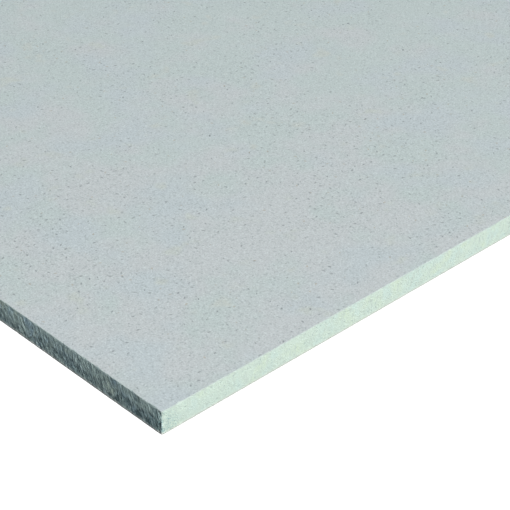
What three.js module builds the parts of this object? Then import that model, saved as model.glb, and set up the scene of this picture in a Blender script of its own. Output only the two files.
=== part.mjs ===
// A gypsum fibre board: one pressed sheet of gypsum and paper fibre, sawn square on all four sides.
//
// Millimetres, +Z up. The board lies flat with its sanded face up. The origin is the middle of its
// underside, +X runs along its length and +Y across its width.

import * as THREE from "three";

// The sheet as it is sold
const BOARD_LENGTH = 1500;
const BOARD_WIDTH = 1000;
const BOARD_THICKNESS = 12.5;

// How the saw and handling leave its edges
const ARRIS_BREAK = 0.25; // the 45 degree break along the face and the back, measured square to each
const CORNER_RADIUS = 0.5; // the worn upright corners, seen in plan
const CORNER_STEPS = 4; // straight steps in each rounded corner

// The outline of the sheet in plan, with its four worn corners.
function planOutline(length, width, radius) {
  const left = -length / 2 + radius;
  const right = length / 2 - radius;
  const front = -width / 2 + radius;
  const back = width / 2 - radius;
  const quarter = Math.PI / 2;

  const outline = new THREE.Shape();
  outline.moveTo(left, front - radius);
  outline.absarc(right, front, radius, -quarter, 0, false);
  outline.absarc(right, back, radius, 0, quarter, false);
  outline.absarc(left, back, radius, quarter, 2 * quarter, false);
  outline.absarc(left, front, radius, 2 * quarter, 3 * quarter, false);
  return outline;
}

// The sheet: its outline through the thickness, with the arris broken along the face and the back.
function sheetGeometry() {
  const outline = planOutline(BOARD_LENGTH, BOARD_WIDTH, CORNER_RADIUS);
  const geometry = new THREE.ExtrudeGeometry(outline, {
    depth: BOARD_THICKNESS - 2 * ARRIS_BREAK,
    curveSegments: CORNER_STEPS / 2, // an arc gets two straight steps for each of these
    bevelEnabled: true,
    bevelThickness: ARRIS_BREAK,
    bevelSize: ARRIS_BREAK,
    bevelOffset: -ARRIS_BREAK, // keeps the sawn edges at the full length and width
    bevelSegments: 1,
  });
  geometry.translate(0, 0, ARRIS_BREAK); // the back lies on Z = 0
  return geometry;
}

const gypsumFibre = new THREE.MeshStandardMaterial({
  color: new THREE.Color(0.53, 0.59, 0.595),
  roughness: 0.9,
  metalness: 0,
});

const sheet = new THREE.Mesh(sheetGeometry(), gypsumFibre);
sheet.name = "board";

const gypsumFibreBoard = new THREE.Group();
gypsumFibreBoard.add(sheet);

export default gypsumFibreBoard;
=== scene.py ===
# A gypsum fibre board: one pressed sheet of gypsum and paper fibre, sawn on all four sides.
#
# It lies flat on a plain white studio floor. Metres, +Z up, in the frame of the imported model.
# The board is one closed mesh. Its sawn edges have real relief, and its arrises are chipped.

import math
from collections import namedtuple

import bpy
from mathutils import Matrix, Vector, noise
from mathutils.geometry import delaunay_2d_cdt


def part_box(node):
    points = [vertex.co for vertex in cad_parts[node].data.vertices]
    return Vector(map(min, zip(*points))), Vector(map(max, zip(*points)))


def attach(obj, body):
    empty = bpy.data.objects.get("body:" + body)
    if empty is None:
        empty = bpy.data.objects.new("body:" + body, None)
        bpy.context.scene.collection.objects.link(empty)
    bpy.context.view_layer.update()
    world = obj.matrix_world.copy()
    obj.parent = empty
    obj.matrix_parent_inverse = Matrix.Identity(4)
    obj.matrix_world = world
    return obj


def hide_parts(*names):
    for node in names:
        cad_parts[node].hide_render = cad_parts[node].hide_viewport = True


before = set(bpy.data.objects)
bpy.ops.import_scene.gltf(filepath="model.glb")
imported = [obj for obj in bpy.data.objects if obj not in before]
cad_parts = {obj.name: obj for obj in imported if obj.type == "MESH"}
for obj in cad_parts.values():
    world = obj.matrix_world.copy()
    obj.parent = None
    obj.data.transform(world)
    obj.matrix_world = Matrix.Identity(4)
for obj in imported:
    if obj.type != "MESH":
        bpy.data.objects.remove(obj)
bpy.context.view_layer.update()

MM = 0.001

# The board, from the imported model
NODE = "board"
BOARD_LOW, BOARD_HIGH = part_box("board")
HALF_LENGTH = (BOARD_HIGH.x - BOARD_LOW.x) / 2
HALF_WIDTH = (BOARD_HIGH.y - BOARD_LOW.y) / 2
THICKNESS = BOARD_HIGH.z - BOARD_LOW.z
FACE_BREAK = 0.08 * MM  # the least break along the face
BACK_BREAK = 0.03 * MM  # and along the back
CORNER_RADIUS = 0.3 * MM  # the worn upright corners, seen in plan

# How finely the mesh follows the sawn edges
CORNER_STEPS = 4
FINE_STEP = 0.6 * MM  # between columns near the corners
COARSE_STEP = 2.4 * MM  # between columns in the middle of each side
FINE_REACH = 122 * MM  # how far the fine columns run from each corner
STEP_GROWTH = 1.03
SIDE_ROWS = 17  # across the thickness, between the two broken arrises
CORNER_SPREAD = 8 * MM  # over this length a column's way inwards turns towards the diagonal
LOOP_INSETS = [2 * MM, 6 * MM, 16 * MM, 40 * MM, 100 * MM, 220 * MM, 400 * MM]
LOOP_STEP = 0.9  # between the points of a loop on a flat face, as a share of its inset

# How a flat face is filled
INSIDE_OUTLINE = 1  # the kind of fill that leaves no triangle outside the outline
SAME_POINT = 1e-7  # points closer together than this are one

# Relief of the sawn edges, as depths into the board
END_ROUGHNESS = 1.0  # the short ends are cut with a coarse saw
SIDE_ROUGHNESS = 0.25  # and the long edges with a finer one
ROUGH_SPREAD = 4 * MM  # how far from a corner the roughness of the end runs on round it
CROWN_DEPTH = 0.14 * MM  # the upper half falls back a little towards the face
LEAN_DEPTH = 0.30 * MM  # how far the saw wanders out of upright
LEAN_SIZE = 260 * MM
LEAN_SHIFT = Vector((3.75, 8.75, 0.0))
WAVE_DEPTH = 0.04 * MM
WAVE_SIZE = 16 * MM
STREAK_DEPTH = 0.30 * MM
STREAK_WIDTH = 1.3 * MM
STREAK_LENGTH = 7.0 * MM
STREAK_SLANT = math.radians(24)  # from upright, in the plane of the edge
STREAK_SHIFT = 4.7
PIT_DEPTH = 0.26 * MM
PIT_SIZE = 2.6 * MM
PIT_SHIFT = Vector((7.3, 1.9, 4.1))
PIT_RANGE = (0.12, 0.55)  # the noise where a pit starts and where it is at its deepest
FIRM_RIM = 1.6 * MM  # the relief fades out towards the two arrises over this height
RIM_RELIEF = 0.3  # to this share of itself

# Chips along the arrises
FACE_CHIP_DEPTH = 0.40 * MM
BACK_CHIP_DEPTH = 0.10 * MM
CHIP_SIZE = 3.2 * MM
CHIP_RANGE = (0.22, 0.62)  # the noise where a chip starts and where it is at its deepest
RAGGED_DEPTH = 0.06 * MM
RAGGED_SIZE = 1.1 * MM
CHIPPED_AT_LEAST = 0.35  # the share of all this on an edge that has no roughness

# Knocks by the near left corner, on its end or on its side
Knock = namedtuple("Knock", "edge along height reach depth")
KNOCKS = (
    Knock("end", 5.5 * MM, 12.5 * MM, 4.0 * MM, 0.30 * MM),
    Knock("end", 20.0 * MM, 12.5 * MM, 1.6 * MM, 0.36 * MM),
    Knock("end", 42.5 * MM, 12.5 * MM, 1.4 * MM, 0.28 * MM),
    Knock("end", 0.2 * MM, 10.4 * MM, 2.4 * MM, 0.28 * MM),
    Knock("end", 0.3 * MM, 6.2 * MM, 2.2 * MM, 0.50 * MM),
    Knock("end", 0.2 * MM, 2.4 * MM, 2.2 * MM, 0.34 * MM),
    Knock("side", 10.2 * MM, 12.5 * MM, 2.0 * MM, 0.22 * MM),
)
KNOCK_CORE = 0.3  # the share of a knock's reach that lies at its full depth
KNOCK_AT_ARRIS = 0.5  # the share of its depth that also breaks the arris back


def smoothstep(low, high, value):
    """A smooth step from 0 where the value is low to 1 where it is high."""
    share = min(1.0, max(0.0, (value - low) / (high - low)))
    return share * share * (3 - 2 * share)


# Mesh

def graded_places(length):
    """Places along a side: fine steps near both ends and longer ones in its middle."""
    places = [0.0]
    step = FINE_STEP
    while places[-1] + step < length / 2:
        places.append(places[-1] + step)
        if places[-1] > FINE_REACH:
            step = min(COARSE_STEP, step * STEP_GROWTH)
    return places + [length - place for place in reversed(places)]


def perimeter():
    """The outline in plan, anticlockwise from the near left corner, as columns of the edge.

    Each has its side, its place, its way inwards and its roughness. The way inwards is square to the
    side, and turns to the diagonal at a corner, so that no columns cross.
    """
    columns = []
    for side in range(4):
        turn = (side - 1) * math.pi / 2
        normal = Vector((math.cos(turn), math.sin(turn)))
        along = Vector((-normal.y, normal.x))
        out, half = (HALF_WIDTH, HALF_LENGTH) if side % 2 == 0 else (HALF_LENGTH, HALF_WIDTH)
        straight = half - CORNER_RADIUS
        own_roughness = (SIDE_ROUGHNESS, END_ROUGHNESS)[side % 2]
        for step in graded_places(2 * straight):
            from_corner = min(step, 2 * straight - step)
            lean = max(0.0, 1 - from_corner / CORNER_SPREAD)
            inwards = along * math.copysign(lean, straight - step) - normal
            share = min(1.0, from_corner / ROUGH_SPREAD)
            roughness = END_ROUGHNESS + (own_roughness - END_ROUGHNESS) * share
            columns.append((side, normal * out + along * (step - straight), inwards, roughness))
        centre = normal * (out - CORNER_RADIUS) + along * straight
        for step in range(1, CORNER_STEPS):
            angle = turn + step * math.pi / 2 / CORNER_STEPS
            ray = Vector((math.cos(angle), math.sin(angle)))
            columns.append((side, centre + ray * CORNER_RADIUS, -normal - along, END_ROUGHNESS))
    return columns


def streak_place(place, z):
    """Where a point of a sawn edge lies across and along the slanted saw marks."""
    run = place.x + place.y
    across = run * math.cos(STREAK_SLANT) - z * math.sin(STREAK_SLANT)
    along = run * math.sin(STREAK_SLANT) + z * math.cos(STREAK_SLANT)
    return across, along


def knock_depth(point):
    """How deep the knocks by the near left corner are at this point."""
    depth = 0.0
    for knock in KNOCKS:
        way = Vector((knock.along, 0, 0)) if knock.edge == "side" else Vector((0, knock.along, 0))
        centre = Vector((-HALF_LENGTH, -HALF_WIDTH, knock.height)) + way
        share = smoothstep(knock.reach, KNOCK_CORE * knock.reach, (point - centre).length)
        depth = max(depth, knock.depth * share)
    return depth


def edge_depth(place, z, roughness):
    """How deep the sawn surface lies behind the flat edge at this point."""
    point = Vector((place.x, place.y, z))
    height = z / THICKNESS
    crown = max(0.0, 2 * height - 1) ** 2
    lean = noise.noise(Vector((place.x, place.y, 0.0)) / LEAN_SIZE + LEAN_SHIFT)
    lean = lean * height if lean > 0 else lean * (height - 1)
    wave = 0.5 + 0.5 * noise.noise(point / WAVE_SIZE)
    across, along = streak_place(place, z)
    streak = abs(noise.noise(Vector((across / STREAK_WIDTH, along / STREAK_LENGTH, STREAK_SHIFT))))
    pit = smoothstep(*PIT_RANGE, noise.noise(point / PIT_SIZE + PIT_SHIFT))
    firm = RIM_RELIEF + (1 - RIM_RELIEF) * smoothstep(0.0, FIRM_RIM, min(z, THICKNESS - z))
    cut = CROWN_DEPTH * crown + LEAN_DEPTH * lean + WAVE_DEPTH * wave
    torn = STREAK_DEPTH * streak + PIT_DEPTH * pit
    return roughness * (cut + firm * torn) + knock_depth(point)


def arris_depth(place, z, least, chip_depth, roughness):
    """How far the arris at this height is broken back at this column."""
    point = Vector((place.x, place.y, z))
    chip = smoothstep(*CHIP_RANGE, noise.noise(point / CHIP_SIZE))
    ragged = 0.5 + 0.5 * noise.noise(point / RAGGED_SIZE)
    worn = CHIPPED_AT_LEAST + (1 - CHIPPED_AT_LEAST) * roughness
    broken = worn * (chip_depth * chip + RAGGED_DEPTH * ragged)
    return least + broken + KNOCK_AT_ARRIS * knock_depth(point)


def edge_rows(place, roughness):
    """The heights and depths of one column of the edge, from the back to the face."""
    low = arris_depth(place, 0.0, BACK_BREAK, BACK_CHIP_DEPTH, roughness)
    high = arris_depth(place, THICKNESS, FACE_BREAK, FACE_CHIP_DEPTH, roughness)
    bottom, top = low, THICKNESS - high
    rows = [(0.0, low + edge_depth(place, 0.0, roughness))]
    for row in range(SIDE_ROWS):
        z = bottom + (top - bottom) * row / (SIDE_ROWS - 1)
        rows.append((z, edge_depth(place, z, roughness)))
    rows.append((THICKNESS, high + edge_depth(place, THICKNESS, roughness)))
    return rows


def inner_points():
    """Points of a flat face, in square loops that thin out away from its edges."""
    points = []
    for inset in LOOP_INSETS:
        half_x, half_y = HALF_LENGTH - inset, HALF_WIDTH - inset
        corners = [(-half_x, -half_y), (half_x, -half_y), (half_x, half_y), (-half_x, half_y)]
        for start, end in zip(corners, corners[1:] + corners[:1]):
            start, end = Vector(start), Vector(end)
            steps = math.ceil((end - start).length / (inset * LOOP_STEP))
            points += [start.lerp(end, step / steps) for step in range(steps)]
    return points


def fill_face(outline, inner):
    """Triangles over a flat face, as indices into the outline's points and then the inner ones."""
    count = len(outline)
    edges = [(i, (i + 1) % count) for i in range(count)]
    made = delaunay_2d_cdt(outline + inner, edges, [], INSIDE_OUTLINE, SAME_POINT)
    triangles, came_from = made[2], made[3]
    return [[came_from[i][0] for i in triangle] for triangle in triangles]


# The bands of the surface: the sides 0 to 3 anticlockwise from the near long one, then the flat faces
FACE = 4
BACK = 5
SANDED_FACE, PLAIN_BACK, SAWN_SIDE, SAWN_END = range(4)  # the order in which main adds the materials
MATERIAL_OF_BAND = (SAWN_SIDE, SAWN_END, SAWN_SIDE, SAWN_END, SANDED_FACE, PLAIN_BACK)
BAND_HEIGHTS = (  # each band's share of the bake's height, with the face in the most detail
    (0.903, 0.923),
    (0.928, 0.948),
    (0.953, 0.973),
    (0.978, 0.998),
    (0.002, 0.622),
    (0.627, 0.898),
)


def board_mesh():
    """The whole board: its edge in columns, closed by the filled face and back."""
    columns = perimeter()
    count = len(columns)
    vertices = []
    for side, place, inwards, roughness in columns:
        for z, depth in edge_rows(place, roughness):
            point = place + inwards * depth
            vertices.append((point.x, point.y, z))
    rows = len(vertices) // count

    faces, bands = [], []
    for column in range(count):
        here, there = column * rows, (column + 1) % count * rows
        for row in range(rows - 1):
            faces.append((here + row, there + row, there + row + 1, here + row + 1))
            bands.append(columns[column][0])

    inner = inner_points()
    for band, row, z in ((FACE, rows - 1, THICKNESS), (BACK, 0, 0.0)):
        rim = [column * rows + row for column in range(count)]
        outline = [Vector(vertices[i][:2]) for i in rim]
        indices = rim + list(range(len(vertices), len(vertices) + len(inner)))
        vertices += [(point.x, point.y, z) for point in inner]
        for face in fill_face(outline, inner):
            corners = [indices[i] for i in face]
            faces.append(corners if band == FACE else corners[::-1])
            bands.append(band)

    mesh = bpy.data.meshes.new("gypsum_fibre_board")
    mesh.from_pydata(vertices, [], faces)
    mesh.polygons.foreach_set("material_index", [MATERIAL_OF_BAND[band] for band in bands])
    mesh.polygons.foreach_set("use_smooth", [band not in (FACE, BACK) for band in bands])
    mesh.update()
    lay_out(mesh, bands)
    return mesh


def lay_out(mesh, bands):
    """Spreads the surface over a square in bands, so that its colours can be baked."""
    places = []
    for polygon, band in zip(mesh.polygons, bands):
        low, high = BAND_HEIGHTS[band]
        for vertex in polygon.vertices:
            point = mesh.vertices[vertex].co
            across = 0.5 + 0.5 * point.x / HALF_LENGTH
            up = 0.5 + 0.5 * point.y / HALF_WIDTH
            if band not in (FACE, BACK):
                across = up if band % 2 else across
                up = point.z / THICKNESS
            places += (across, low + (high - low) * up)
    mesh.uv_layers.new(name="OFBake").data.foreach_set("uv", places)


# Materials

# Soft patches of another tone: the shift of their noise and its size, the noise where a patch starts
# and where it is full, and the noise's detail and roughness
Patches = namedtuple("Patches", "shift size start full detail roughness", defaults=(2.0, 0.5))

# Paper fibres: the size of the cell that holds one at most, a fibre's length and width, the seed of
# their pattern, how strongly they show, and their colour
Fibres = namedtuple("Fibres", "cell length width seed strength colour")
FIBRE_SIZES = (0.55, 1.25)  # the smallest and the largest, as shares of that length and width
FIBRE_FADE = (0.55, 1.15)  # a fibre fades out between these shares of the way to its outline
SEED_SLOPE = 0.7  # how far a seed shifts the pattern in Y, for each metre in X


class Nodes:
    """Short calls for the nodes of one material."""

    def __init__(self, name):
        self.material = bpy.data.materials.new(name)
        self.material.use_nodes = True
        self.tree = self.material.node_tree
        self.shader = self.tree.nodes["Principled BSDF"]

    def add(self, kind, inputs, **settings):
        """A new node, whose inputs are given as values or as the outputs of other nodes."""
        node = self.tree.nodes.new(kind)
        for key, value in settings.items():
            setattr(node, key, value)
        for key, value in inputs.items():
            self.feed(node.inputs[key], value)
        return node

    def feed(self, socket, value):
        if isinstance(value, bpy.types.NodeSocket):
            self.tree.links.new(value, socket)
        else:
            socket.default_value = value

    def place(self):
        """Where the point lies on the board, in metres."""
        return self.add("ShaderNodeTexCoord", {}).outputs["Object"]

    def math(self, operation, first, second):
        return self.add("ShaderNodeMath", {0: first, 1: second}, operation=operation).outputs[0]

    def vector(self, operation, first, second):
        return self.add("ShaderNodeVectorMath", {0: first, 1: second}, operation=operation).outputs[0]

    def distance(self, place, spot):
        node = self.add("ShaderNodeVectorMath", {0: place, 1: spot}, operation="DISTANCE")
        return node.outputs["Value"]

    def turn(self, vector, angle):
        """The vector, turned about Z."""
        inputs = {"Vector": vector, "Angle": angle}
        return self.add("ShaderNodeVectorRotate", inputs, rotation_type="Z_AXIS").outputs[0]

    def ramp(self, value, low, high, to_low=0.0, to_high=1.0):
        """A smooth step from to_low where the value is low to to_high where it is high."""
        inputs = {
            "Value": value,
            "From Min": low,
            "From Max": high,
            "To Min": to_low,
            "To Max": to_high,
        }
        node = self.add("ShaderNodeMapRange", inputs, interpolation_type="SMOOTHSTEP")
        return node.outputs["Result"]

    def noise(self, vector, size, detail, roughness):
        inputs = {"Vector": vector, "Scale": 1 / size, "Detail": detail, "Roughness": roughness}
        return self.add("ShaderNodeTexNoise", inputs).outputs["Fac"]

    def blend(self, share, first, second):
        """A number between two, with this share of the second."""
        node = self.add("ShaderNodeMix", {"Factor": share, "A": first, "B": second})
        return node.outputs["Result"]

    def mix(self, share, first, second):
        """A colour between two, with this share of the second."""
        node = self.add("ShaderNodeMix", {"Factor": share}, data_type="RGBA")
        colours = [socket for socket in node.inputs if socket.type == "RGBA"]
        self.feed(colours[0], first)
        self.feed(colours[1], second)
        return next(socket for socket in node.outputs if socket.type == "RGBA")

    def bump(self, height, distance):
        inputs = {"Height": height, "Distance": distance, "Strength": 1.0}
        return self.add("ShaderNodeBump", inputs).outputs["Normal"]

    def patches(self, place, kind, changes=(), most=1.0):
        """A mask of soft patches. The changes are added to their noise, and a higher one makes more."""
        moved = self.vector("ADD", place, kind.shift)
        value = self.noise(moved, kind.size, kind.detail, kind.roughness)
        for change in changes:
            value = self.math("ADD", value, change)
        return self.ramp(value, kind.start, kind.full, 0.0, most)

    def strew(self, colour, plane, fibres, share):
        """The colour, with fibres strewn over it in this share of their cells, at all angles."""
        moved = self.vector("ADD", plane, (fibres.seed, fibres.seed * SEED_SLOPE, 0.0))
        inputs = {"Vector": moved, "Scale": 1 / fibres.cell, "Randomness": 1.0}
        cells = self.add("ShaderNodeTexVoronoi", inputs, voronoi_dimensions="2D")
        chance = self.add("ShaderNodeSeparateColor", {"Color": cells.outputs["Color"]}).outputs
        offset = self.vector("SUBTRACT", moved, cells.outputs["Position"])
        turned = self.turn(offset, self.math("MULTIPLY", chance["Blue"], math.tau))
        scaled = self.vector("MULTIPLY", turned, (2 / fibres.length, 2 / fibres.width, 0.0))
        reach = self.add("ShaderNodeVectorMath", {0: scaled}, operation="LENGTH").outputs["Value"]
        size = self.ramp(chance["Green"], 0.0, 1.0, *FIBRE_SIZES)
        near = self.ramp(self.math("DIVIDE", reach, size), *FIBRE_FADE, 1.0, 0.0)
        mask = self.math("MULTIPLY", near, self.math("LESS_THAN", chance["Red"], share))
        return self.mix(self.math("MULTIPLY", mask, fibres.strength), colour, fibres.colour)


CORNER_SPOT = (-HALF_LENGTH, -HALF_WIDTH, 3 * MM)  # the near left corner: its edges have been handled and scuffed, and the faces' painted warm light centres on it

# The tones of the flat faces, which are rosier near that corner, as painted warm light, and greener
# away from it
FACE_GREEN = (0.535, 0.590, 0.573, 1)
FACE_ROSE = (0.572, 0.584, 0.586, 1)
FACE_BLUE = (0.540, 0.582, 0.598, 1)
FACE_STRAW = (0.566, 0.588, 0.547, 1)
ROSE_PATCHES = Patches((3.1, 0.0, 0.0), 28 * MM, 0.36, 0.64)
BLUE_PATCHES = Patches((0.0, 5.3, 0.0), 36 * MM, 0.46, 0.70)
STRAW_PATCHES = Patches((0.0, 0.0, 1.7), 16 * MM, 0.60, 0.75)
ROSE_REACH = (60 * MM, 520 * MM)  # painted warm light: the rose gives way to green between these distances
ROSE_CHANGE = (0.10, -0.16)  # added to the noise of the rose patches at the first and the second

# Their grain, as a noise that is dark where it is low and pale where it is high
GRAIN_DARK = (0.415, 0.441, 0.441, 1)
GRAIN_PALE = (0.690, 0.728, 0.727, 1)
DARK_RANGE = (0.52, 0.20)
PALE_RANGE = (0.50, 0.80)
GRAIN_DETAIL = 2.0
GRAIN_ROUGHNESS = 0.6
GRAIN_SHINE = (0.2, 0.8, 0.92, 0.80)  # low and high grain, and how matt the surface is in each
FACE_GRAIN = {"grain_size": 0.75 * MM, "relief": 0.10 * MM}
BACK_GRAIN = {"grain_size": 1.30 * MM, "relief": 0.30 * MM}

# Their fibres. Each kind has the crowding noise of a thin place and of a crowded place, and the shares
# of its cells that hold a fibre there.
FIBRE_DARK = (0.170, 0.190, 0.195, 1)
FIBRE_GREY = (0.300, 0.340, 0.345, 1)
FIBRE_OCHRE = (0.400, 0.310, 0.200, 1)
CROWDED_FIBRES = (
    (Fibres(2.3 * MM, 1.5 * MM, 0.8 * MM, 1.3, 0.40, FIBRE_GREY), (0.30, 0.70), (0.30, 0.65)),
    (Fibres(4.6 * MM, 1.7 * MM, 0.8 * MM, 2.9, 0.60, FIBRE_DARK), (0.35, 0.70), (0.12, 0.50)),
    (Fibres(7.0 * MM, 1.6 * MM, 0.8 * MM, 5.1, 0.50, FIBRE_OCHRE), (0.40, 0.62), (0.05, 0.30)),
)
BOLD_FIBRES = Fibres(40 * MM, 1.9 * MM, 1.0 * MM, 8.3, 0.85, FIBRE_DARK)
BOLD_SHARE = 0.18
CROWD_SHIFT = (7.7, 0.0, 0.0)
CROWD_SIZE = 45 * MM
CROWD_DETAIL = 2.0
CROWD_ROUGHNESS = 0.6
NOISE_MIDDLE = (0.5, 0.5, 0.5)
STRAY = 0.5 * MM  # how far a fibre's outline strays, over the size below
STRAY_SIZE = 0.7 * MM


def strew_face(nodes, place, colour):
    """The colour, with all the fibres of a flat face strewn over it."""
    inputs = {"Vector": place, "Scale": 1 / STRAY_SIZE, "Detail": 1.0}
    stray = nodes.add("ShaderNodeTexNoise", inputs).outputs["Color"]
    stray = nodes.vector("SUBTRACT", stray, NOISE_MIDDLE)
    plane = nodes.vector("ADD", place, nodes.vector("MULTIPLY", stray, (STRAY, STRAY, 0.0)))
    moved = nodes.vector("ADD", place, CROWD_SHIFT)
    crowd = nodes.noise(moved, CROWD_SIZE, CROWD_DETAIL, CROWD_ROUGHNESS)
    for fibres, crowding, shares in CROWDED_FIBRES:
        colour = nodes.strew(colour, plane, fibres, nodes.ramp(crowd, *crowding, *shares))
    return nodes.strew(colour, plane, BOLD_FIBRES, BOLD_SHARE)


def face_material(name, grain_size, relief):
    """A flat face: grey grain with paper fibres strewn in it."""
    nodes = Nodes(name)
    place = nodes.place()
    grain = nodes.noise(place, grain_size, GRAIN_DETAIL, GRAIN_ROUGHNESS)
    # Painted light: the faces are tinted rosier near the corner spot, as if a warmer light falls there
    painted_warm_light = nodes.ramp(nodes.distance(place, CORNER_SPOT), *ROSE_REACH, *ROSE_CHANGE)

    colour = nodes.mix(nodes.patches(place, ROSE_PATCHES, [painted_warm_light]), FACE_GREEN, FACE_ROSE)
    colour = nodes.mix(nodes.patches(place, BLUE_PATCHES), colour, FACE_BLUE)
    colour = nodes.mix(nodes.patches(place, STRAW_PATCHES), colour, FACE_STRAW)
    colour = nodes.mix(nodes.ramp(grain, *DARK_RANGE), colour, GRAIN_DARK)
    colour = nodes.mix(nodes.ramp(grain, *PALE_RANGE), colour, GRAIN_PALE)
    colour = strew_face(nodes, place, colour)

    nodes.feed(nodes.shader.inputs["Base Color"], colour)
    nodes.feed(nodes.shader.inputs["Roughness"], nodes.ramp(grain, *GRAIN_SHINE))
    nodes.feed(nodes.shader.inputs["Normal"], nodes.bump(grain, relief))
    nodes.shader.inputs["Specular IOR Level"].default_value = 0.3
    return nodes.material


# The tones of the sawn edges
SIDE_COLOURS = {
    "plain": (0.639, 0.765, 0.693, 1),
    "cool": (0.618, 0.765, 0.726, 1),
    "warm": (0.658, 0.783, 0.655, 1),
    "dark": (0.567, 0.678, 0.630, 1),
    "pale": (0.692, 0.809, 0.750, 1),
    "stain": (0.538, 0.678, 0.651, 1),
    "clot": (0.577, 0.696, 0.651, 1),
    "rim": (0.711, 0.753, 0.703, 1),
}
# Most of the end's colours are cooler than the side's, and its dark, stain and clot far darker: painted
# shade, for the same core lies in shade on the end
SHADED_END_COLOURS = {
    "plain": (0.700, 0.858, 0.808, 1),
    "cool": (0.592, 0.782, 0.868, 1),
    "warm": (0.748, 0.864, 0.735, 1),
    "dark": (0.450, 0.570, 0.560, 1),
    "pale": (0.695, 0.855, 0.865, 1),
    "stain": (0.300, 0.415, 0.430, 1),
    "clot": (0.085, 0.135, 0.145, 1),
    "rim": (0.900, 0.880, 0.820, 1),
}
EDGE_FLECK = (0.330, 0.430, 0.430, 1)
# Painted shade for the hollows of a sawn edge, which its bump can't shade
EDGE_HOLLOW_SHADE = (0.100, 0.145, 0.150, 1)
EDGE_TEAL = (0.300, 0.470, 0.480, 1)
RIM_GREY = (0.500, 0.560, 0.550, 1)
COOL_PATCHES = Patches((2.3, 0.0, 0.0), 9 * MM, 0.45, 0.65)
WARM_PATCHES = Patches((0.0, 4.1, 0.0), 11 * MM, 0.50, 0.72)
STAIN_PATCHES = Patches((0.0, 0.0, 6.7), 14 * MM, 0.43, 0.60, 3.0, 0.6)
CLOT_PATCHES = Patches((9.1, 0.0, 0.0), 3.4 * MM, 0.50, 0.60, 4.0, 0.7)
EDGE_FIBRES = Fibres(2.6 * MM, 1.3 * MM, 0.6 * MM, 1.7, 0.5, EDGE_FLECK)
EDGE_FIBRE_SHARE = 0.4

# Their fine texture, and how much each part of it adds to the height
MARK_WIDTH = 1.1 * MM  # of the slanted saw marks
MARK_LENGTH = 5.5 * MM
TUFT_SIZE = 0.8 * MM  # of the torn fibre where there are no marks
TORN_WEIGHT = 1.4
CRUMB_SIZE = 1.6 * MM
CRUMB_SQUEEZE = (1.0, 1.0, 0.5)  # makes the crumbs twice as tall as wide
CRUMB_WEIGHT = 0.6
CRUMB_DETAIL = 3.0
POWDER_SIZE = 0.35 * MM
POWDER_WEIGHT = 0.3
POWDER_DETAIL = 1.0
POWDER_ROUGHNESS = 0.5
TEXTURE_DETAIL = 2.0  # of the noise of the marks and the tufts
TEXTURE_ROUGHNESS = 0.6  # and of all but the powder
DARK_CRUMBS = (0.52, 0.30)  # the noise where the crumbs begin to darken and where they are darkest
PALE_FIBRE = (0.50, 0.75)  # and where the torn fibre begins to pale and where it is palest
HOLLOW_SHADE_HEIGHT = (1.07, 0.73)  # painted shade darkens the hollows, between these heights

# Their dirt, weighted low down, which is partly painted shade. Each row of four has the height on the
# edge, or the distance from the corner spot, where it starts and where it ends, and then its value at
# each.
STAIN_TOP = (0.66 * THICKNESS, 0.45 * THICKNESS, 0.30, 1.0)  # how much shows, by height: painted shade, darker towards the bottom
STAIN_FOOT = (0.5 * MM, 2.0 * MM, 0.4, 1.0)
MORE_STAIN = (100 * MM, 0.0, -0.04, 0.14)  # added to the noise of the stains, by distance
MORE_CLOTS = (60 * MM, 0.0, 0.0, 0.05)  # added to the noise of the clots, by distance
MORE_LOW_CLOTS = (5 * MM, 3 * MM, -0.01, 0.02)  # and by height
HAZE_REACH = 110 * MM  # a thin even stain round the corner spot
HAZE_SHARE = 0.25
SCUFF_REACH = (13 * MM, 5 * MM)  # the scuffs fade in between these distances
SCUFF_RANGE = (0.51, 0.60)  # on the tufts whose noise is this high
SCUFF_SHARE = 0.85

# Their rims along the face and the back
FACE_RIM_HEIGHT = 1.1 * MM
BACK_RIM_HEIGHT = 1.5 * FACE_RIM_HEIGHT
FACE_RIM_SHARE = 0.7
BACK_RIM_SHARE = 0.9

# The end's hollows are darkened as painted shade, and the side's are not
SIDE_FINISH = {"streakiness": 0.0, "relief": 0.42 * MM, "stain": 0.25, "hollow_shade": 0.0}
END_FINISH = {"streakiness": 1.0, "relief": 0.75 * MM, "stain": 0.8, "hollow_shade": 0.95}


def saw_marks(nodes, plane):
    """The noise of the slanted saw marks, from the plane of the edge."""
    turned = nodes.turn(plane, STREAK_SLANT)
    slanted = nodes.vector("MULTIPLY", turned, (1 / MARK_WIDTH, 1 / MARK_LENGTH, 0.0))
    return nodes.noise(slanted, 1.0, TEXTURE_DETAIL, TEXTURE_ROUGHNESS)


def stain_edge(nodes, place, up, from_spot, colour, colours, stain):
    """The colour, with stains and dark clots over it, most of them by the corner spot. They are
    weighted to the lower part of the edge, which makes it darker towards the bottom: painted shade.
    """
    # Painted shade: the stains and clots are weighted to the lower part of the edge, darker towards the
    # bottom
    low = nodes.math("MULTIPLY", nodes.ramp(up, *STAIN_TOP), nodes.ramp(up, *STAIN_FOOT))
    stains = nodes.patches(place, STAIN_PATCHES, [nodes.ramp(from_spot, *MORE_STAIN)], stain)
    colour = nodes.mix(nodes.math("MULTIPLY", stains, low), colour, colours["stain"])
    haze = nodes.ramp(from_spot, HAZE_REACH, 0.0, 0.0, HAZE_SHARE * stain)
    colour = nodes.mix(haze, colour, colours["stain"])
    more_clots = [nodes.ramp(from_spot, *MORE_CLOTS), nodes.ramp(up, *MORE_LOW_CLOTS)]
    clots = nodes.patches(place, CLOT_PATCHES, more_clots, stain)
    return nodes.mix(nodes.math("MULTIPLY", clots, low), colour, colours["clot"])


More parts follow.
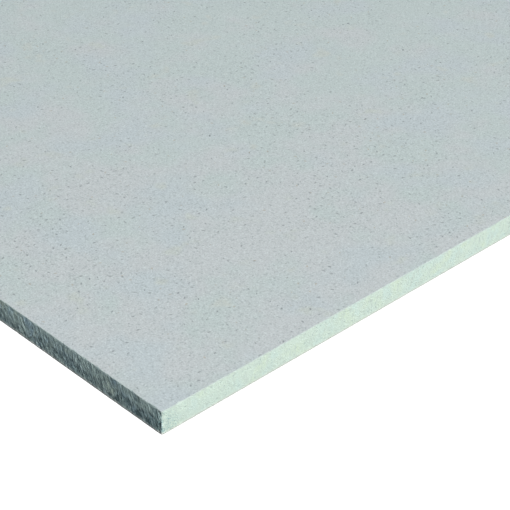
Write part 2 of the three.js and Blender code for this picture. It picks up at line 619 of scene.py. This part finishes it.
def rim_edge(nodes, up, colour, foot_colour):
    """The colour, greyed just under the face and turned to the foot's colour along the back."""
    face_rim = nodes.ramp(up, THICKNESS - FACE_RIM_HEIGHT, THICKNESS, 0.0, FACE_RIM_SHARE)
    colour = nodes.mix(face_rim, colour, RIM_GREY)
    back_rim = nodes.ramp(up, BACK_RIM_HEIGHT, 0.0, 0.0, BACK_RIM_SHARE)
    return nodes.mix(back_rim, colour, foot_colour)


def edge_material(name, colours, streakiness, relief, stain, hollow_shade):
    """A sawn edge: the pale core, rough with slanted saw marks and torn fibre.

    The relief is a depth. The streakiness, the stain and the painted shade in the hollows run from none
    at 0 to the most at 1.
    """
    nodes = Nodes(name)
    place = nodes.place()
    split = nodes.add("ShaderNodeSeparateXYZ", {"Vector": place}).outputs
    up = split["Z"]
    run = nodes.math("ADD", split["X"], split["Y"])
    plane = nodes.add("ShaderNodeCombineXYZ", {"X": run, "Y": up}).outputs["Vector"]
    from_spot = nodes.distance(place, CORNER_SPOT)

    tufts = nodes.noise(place, TUFT_SIZE, TEXTURE_DETAIL, TEXTURE_ROUGHNESS)
    torn = nodes.blend(streakiness, tufts, saw_marks(nodes, plane))
    squeezed = nodes.vector("MULTIPLY", place, CRUMB_SQUEEZE)
    crumbs = nodes.noise(squeezed, CRUMB_SIZE, CRUMB_DETAIL, TEXTURE_ROUGHNESS)
    powder = nodes.noise(place, POWDER_SIZE, POWDER_DETAIL, POWDER_ROUGHNESS)
    height = nodes.math("MULTIPLY", torn, TORN_WEIGHT)
    height = nodes.math("ADD", height, nodes.math("MULTIPLY", crumbs, CRUMB_WEIGHT))
    height = nodes.math("ADD", height, nodes.math("MULTIPLY", powder, POWDER_WEIGHT))

    colour = nodes.mix(nodes.patches(place, COOL_PATCHES), colours["plain"], colours["cool"])
    colour = nodes.mix(nodes.patches(place, WARM_PATCHES), colour, colours["warm"])
    colour = stain_edge(nodes, place, up, from_spot, colour, colours, stain)
    colour = nodes.mix(nodes.ramp(crumbs, *DARK_CRUMBS), colour, colours["dark"])
    colour = nodes.mix(nodes.ramp(torn, *PALE_FIBRE), colour, colours["pale"])
    colour = nodes.strew(colour, plane, EDGE_FIBRES, EDGE_FIBRE_SHARE)
    near_spot = nodes.ramp(from_spot, *SCUFF_REACH)
    on_tufts = nodes.ramp(tufts, *SCUFF_RANGE, 0.0, SCUFF_SHARE)
    scuffed = nodes.math("MULTIPLY", near_spot, on_tufts)
    colour = nodes.mix(scuffed, colour, EDGE_TEAL)
    # Painted shade: the hollows of the bump are darkened towards a dark teal
    colour = nodes.mix(nodes.ramp(height, *HOLLOW_SHADE_HEIGHT, 0.0, hollow_shade), colour, EDGE_HOLLOW_SHADE)
    colour = rim_edge(nodes, up, colour, colours["rim"])

    nodes.feed(nodes.shader.inputs["Base Color"], colour)
    nodes.feed(nodes.shader.inputs["Normal"], nodes.bump(height, relief))
    nodes.shader.inputs["Roughness"].default_value = 0.95
    nodes.shader.inputs["Specular IOR Level"].default_value = 0.2
    return nodes.material


# Studio

# The camera, fitted to the near corner and the two edges in the photograph
LENS = 118.5
SENSOR = 36.0
AZIMUTH = math.radians(-44.44)
ELEVATION = math.radians(33.26)
ROLL = math.radians(1.04)
CAMERA_FROM_CORNER = Vector((-0.36005, -0.4216, 0.4427))
NEAR_CLIP = 0.01
FAR_CLIP = 100

# Each softbox: its place, the point that it faces, its width, its power in watts and its colour
SOFTBOXES = {
    "key_light": ((-1.1, -6.6, 2.0), (-0.4, -0.3, 0.0), 2.6, 422, (1.0, 0.985, 0.93)),
    "top_light": ((-1.35, -1.1, 2.8), (-0.4, -0.2, 0.0), 1.5, 50, (0.885, 0.96, 1.0)),
    "back_light": ((3.2, 3.6, 1.6), (0.2, 0.1, 0.0), 3.0, 170, (0.93, 0.98, 1.0)),
}
AMBIENT = (0.060, 0.072, 0.082, 1)
WHITE = (1, 1, 1, 1)
FLOOR_GREY = (0.3, 0.3, 0.3, 1)
FLOOR_SIZE = 80.0
FLOOR_GAP = 0.2 * MM


def make_camera():
    """The camera, looking down at the near left corner, and rolled a little."""
    lens = bpy.data.cameras.new("camera")
    lens.lens = LENS
    lens.sensor_width = SENSOR
    lens.clip_start = NEAR_CLIP
    lens.clip_end = FAR_CLIP
    camera = bpy.data.objects.new("camera", lens)
    back = Vector((
        math.sin(AZIMUTH) * math.cos(ELEVATION),
        -math.cos(AZIMUTH) * math.cos(ELEVATION),
        math.sin(ELEVATION),
    ))
    right = Vector((0, 0, 1)).cross(back).normalized()
    up = back.cross(right)
    rolled_right = right * math.cos(ROLL) + up * math.sin(ROLL)
    rolled_up = up * math.cos(ROLL) - right * math.sin(ROLL)
    corner = Vector((-HALF_LENGTH, -HALF_WIDTH, THICKNESS))
    turn = Matrix((rolled_right, rolled_up, back)).transposed()
    camera.matrix_world = Matrix.Translation(corner + CAMERA_FROM_CORNER) @ turn.to_4x4()
    bpy.context.collection.objects.link(camera)
    bpy.context.scene.camera = camera


def make_softbox(name, place, target, size, power, colour):
    """A square light that faces the target."""
    light = bpy.data.lights.new(name, "AREA")
    light.shape = "SQUARE"
    light.size = size
    light.energy = power
    light.color = colour
    lamp = bpy.data.objects.new(name, light)
    lamp.location = place
    aim = Vector(target) - Vector(place)
    lamp.rotation_euler = aim.to_track_quat("-Z", "Y").to_euler()
    bpy.context.collection.objects.link(lamp)


def make_floor():
    """A white floor just under the board, which neither lights it nor is reflected in it."""
    half = FLOOR_SIZE / 2
    corners = [(-half, -half, 0), (half, -half, 0), (half, half, 0), (-half, half, 0)]
    mesh = bpy.data.meshes.new("floor")
    mesh.from_pydata(corners, [], [(0, 1, 2, 3)])
    floor = bpy.data.objects.new("floor", mesh)
    floor.location.z = -FLOOR_GAP
    floor.visible_diffuse = False
    floor.visible_glossy = False
    bpy.context.collection.objects.link(floor)
    nodes = Nodes("white_floor")
    nodes.shader.inputs["Base Color"].default_value = FLOOR_GREY
    nodes.shader.inputs["Roughness"].default_value = 1.0
    nodes.shader.inputs["Specular IOR Level"].default_value = 0.0
    nodes.shader.inputs["Emission Color"].default_value = WHITE
    nodes.shader.inputs["Emission Strength"].default_value = 1.0
    mesh.materials.append(nodes.material)


def make_world():
    """White where the camera sees it, and a dim cool fill for everything else."""
    world = bpy.data.worlds.new("studio")
    bpy.context.scene.world = world
    world.use_nodes = True
    tree = world.node_tree
    output = tree.nodes["World Output"]
    fill = tree.nodes["Background"]
    fill.inputs["Color"].default_value = AMBIENT
    white = tree.nodes.new("ShaderNodeBackground")
    white.inputs["Color"].default_value = WHITE
    rays = tree.nodes.new("ShaderNodeLightPath")
    choose = tree.nodes.new("ShaderNodeMixShader")
    tree.links.new(rays.outputs["Is Camera Ray"], choose.inputs[0])
    tree.links.new(fill.outputs[0], choose.inputs[1])
    tree.links.new(white.outputs[0], choose.inputs[2])
    tree.links.new(choose.outputs[0], output.inputs["Surface"])


def main():
    """The board with its four materials, and the studio that it lies in."""
    board = bpy.data.objects.new("gypsum_fibre_board", board_mesh())
    bpy.context.collection.objects.link(board)
    board.data.materials.append(face_material("sanded_face", **FACE_GRAIN))
    board.data.materials.append(face_material("plain_back", **BACK_GRAIN))
    board.data.materials.append(edge_material("sawn_side", SIDE_COLOURS, **SIDE_FINISH))
    board.data.materials.append(edge_material("sawn_end", SHADED_END_COLOURS, **END_FINISH))
    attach(board, "root")
    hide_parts(NODE)

    make_camera()
    make_floor()
    make_world()
    for name, settings in SOFTBOXES.items():
        make_softbox(name, *settings)
    bpy.context.scene.view_settings.view_transform = "Standard"


main()
